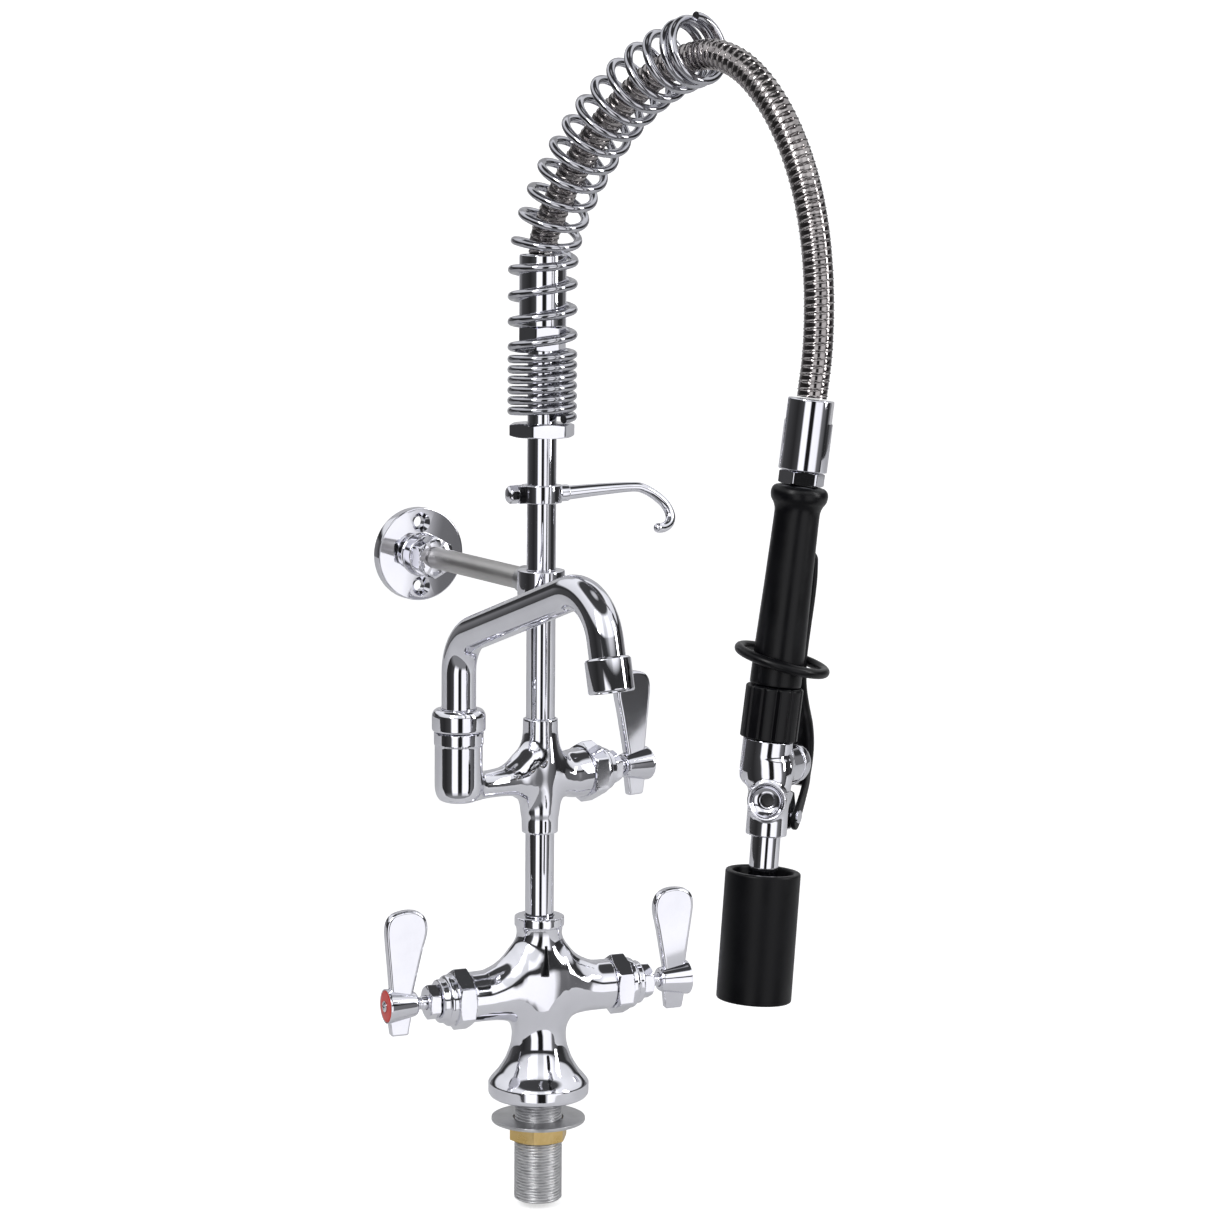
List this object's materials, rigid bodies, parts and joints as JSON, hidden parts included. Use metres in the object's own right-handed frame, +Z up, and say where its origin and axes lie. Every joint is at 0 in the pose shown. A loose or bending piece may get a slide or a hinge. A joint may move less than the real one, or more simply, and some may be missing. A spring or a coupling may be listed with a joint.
{
  "type": "pre rinse faucet",
  "caption": "Deck-mounted pre-rinse faucet: mixing base with lever valves, add-on swing spout, tall riser with wall bracket, overhead sprung hose and hand spray valve.",
  "frame": {"origin": "Centre of the deck hole, on the underside of the faucet's base, where the base rests on the deck.", "axes": "+Z up along the riser; -Y towards the user; +X to the user's right, so the hot lever is at -X; the wall bracket is at +Y."},
  "size_m": [0.1966, 0.3864, 0.6975],
  "materials": {
    "chrome": "mirror-polished chrome plate",
    "satin_steel": "satin, fine turned marks",
    "hose_steel": "dark interlocked strip, bright at the crests",
    "brass": "plain machined brass",
    "ceramic": "fired white ceramic, not seen from outside",
    "hot_index": "red",
    "cold_index": "blue",
    "plain_index": "grey",
    "black_rubber": "smooth satin black",
    "black_plastic": "satin black moulding",
    "seal": "black ring"
  },
  "bodies": {
    "faucet": {"base_body": "chrome", "mounting_shank": "satin_steel", "clamp_washer": "satin_steel", "lock_nut": "brass", "lower_riser": "chrome", "upper_riser": "chrome", "addon_body": "chrome", "swivel_nut": "chrome", "hot_bonnet": "chrome", "hot_packing_nut": "chrome", "cold_bonnet": "chrome", "cold_packing_nut": "chrome", "addon_bonnet": "chrome", "addon_packing_nut": "chrome", "bracket_ring": "chrome", "bracket_arm": "satin_steel", "bracket_nut": "chrome", "wall_flange": "chrome", "hook_clamp": "chrome", "hook_rod": "chrome", "hook_screw": "chrome"},
    "spout_body": {"spout": "chrome", "spout_seal": "seal", "aerator_shell": "chrome", "aerator_insert": "black_plastic"},
    "arch_base": {"spring_seat_nut": "chrome", "hose_nut": "chrome", "hose_sleeve": "chrome", "overhead_spring": "chrome", "hose": "hose_steel"},
    "hose_end": {"hose_end_ferrule": "chrome"},
    "spray_valve": {"handle_adapter": "chrome", "grip": "black_plastic", "grip_collar": "black_plastic", "spray_body": "chrome", "plunger_bonnet": "chrome", "outlet_tube": "chrome", "bumper": "black_rubber", "spray_face": "chrome", "lever_pin": "chrome"},
    "squeeze_lever": {"spray_lever": "black_plastic"},
    "valve_plunger": {"plunger": "brass"},
    "ring_body": {"hold_ring": "black_plastic"},
    "hot_valve": {"hot_ceramic_disc": "ceramic", "hot_stem": "chrome", "hot_lever": "chrome", "hot_index_disc": "hot_index", "hot_lever_screw": "chrome"},
    "cold_valve": {"cold_ceramic_disc": "ceramic", "cold_stem": "chrome", "cold_lever": "chrome", "cold_index_disc": "cold_index", "cold_lever_screw": "chrome"},
    "addon_valve": {"addon_ceramic_disc": "ceramic", "addon_stem": "chrome", "addon_lever": "chrome", "addon_index_disc": "plain_index", "addon_lever_screw": "chrome"}
  },
  "joints": [
    {"name": "hot_lever_turn", "type": "hinge", "parent": "faucet", "child": "hot_valve", "pos_m": [-0.045, 0, 0.0635], "axis": [1, 0, 0], "range_deg": [0, 90]},
    {"name": "cold_lever_turn", "type": "hinge", "parent": "faucet", "child": "cold_valve", "pos_m": [0.045, 0, 0.0635], "axis": [1, 0, 0], "range_deg": [0, 90]},
    {"name": "addon_lever_turn", "type": "hinge", "parent": "faucet", "child": "addon_valve", "pos_m": [0.02876, 0.00852, 0.1926], "axis": [0.9588, 0.284, 0], "range_deg": [0, 90]},
    {"name": "spout_swing", "type": "hinge", "parent": "faucet", "child": "spout_body", "pos_m": [-0.05791, -0.01715, 0.22], "axis": [0, 0, 1], "range_deg": [-170, 55]},
    {"name": "arch_swing", "type": "hinge", "parent": "faucet", "child": "arch_base", "pos_m": [0, 0, 0.45], "axis": [0, 0, 1], "range_deg": [-6, 90]},
    {"name": "arch_bend", "type": "hinge", "parent": "arch_base", "child": "hose_end", "pos_m": [0, 0, 0.5], "axis": [0.9304, 0.3664, 0], "range_deg": [-4, 5], "stiffness_Nm_per_rad": 60, "springref_deg": -1.72, "deforming": ["overhead_spring", "hose"]},
    {"name": "spray_valve_swivel", "type": "hinge", "parent": "hose_end", "child": "spray_valve", "pos_m": [0.0764, -0.1936, 0.428], "axis": [0.1204, -0.0056, 0.9927], "continuous": true},
    {"name": "spray_lever_squeeze", "type": "hinge", "parent": "spray_valve", "child": "squeeze_lever", "pos_m": [0.07143, -0.17889, 0.19855], "axis": [0.6686, -0.7426, -0.0387], "range_deg": [0, 2.3], "stiffness_Nm_per_rad": 8, "springref_deg": -3.44},
    {"name": "plunger_slide", "type": "slide", "parent": "spray_valve", "child": "valve_plunger", "axis": [-0.7399, -0.6696, 0.0647], "range_m": [0, 0.0012]},
    {"name": "hold_ring_slide", "type": "slide", "parent": "spray_valve", "child": "ring_body", "axis": [0.1204, -0.0056, 0.9927], "range_m": [-0.004, 0.008]}
  ],
  "couplings": [
    {"joint": "plunger_slide", "follows": "spray_lever_squeeze", "m_per_rad": 0.029}
  ]
}
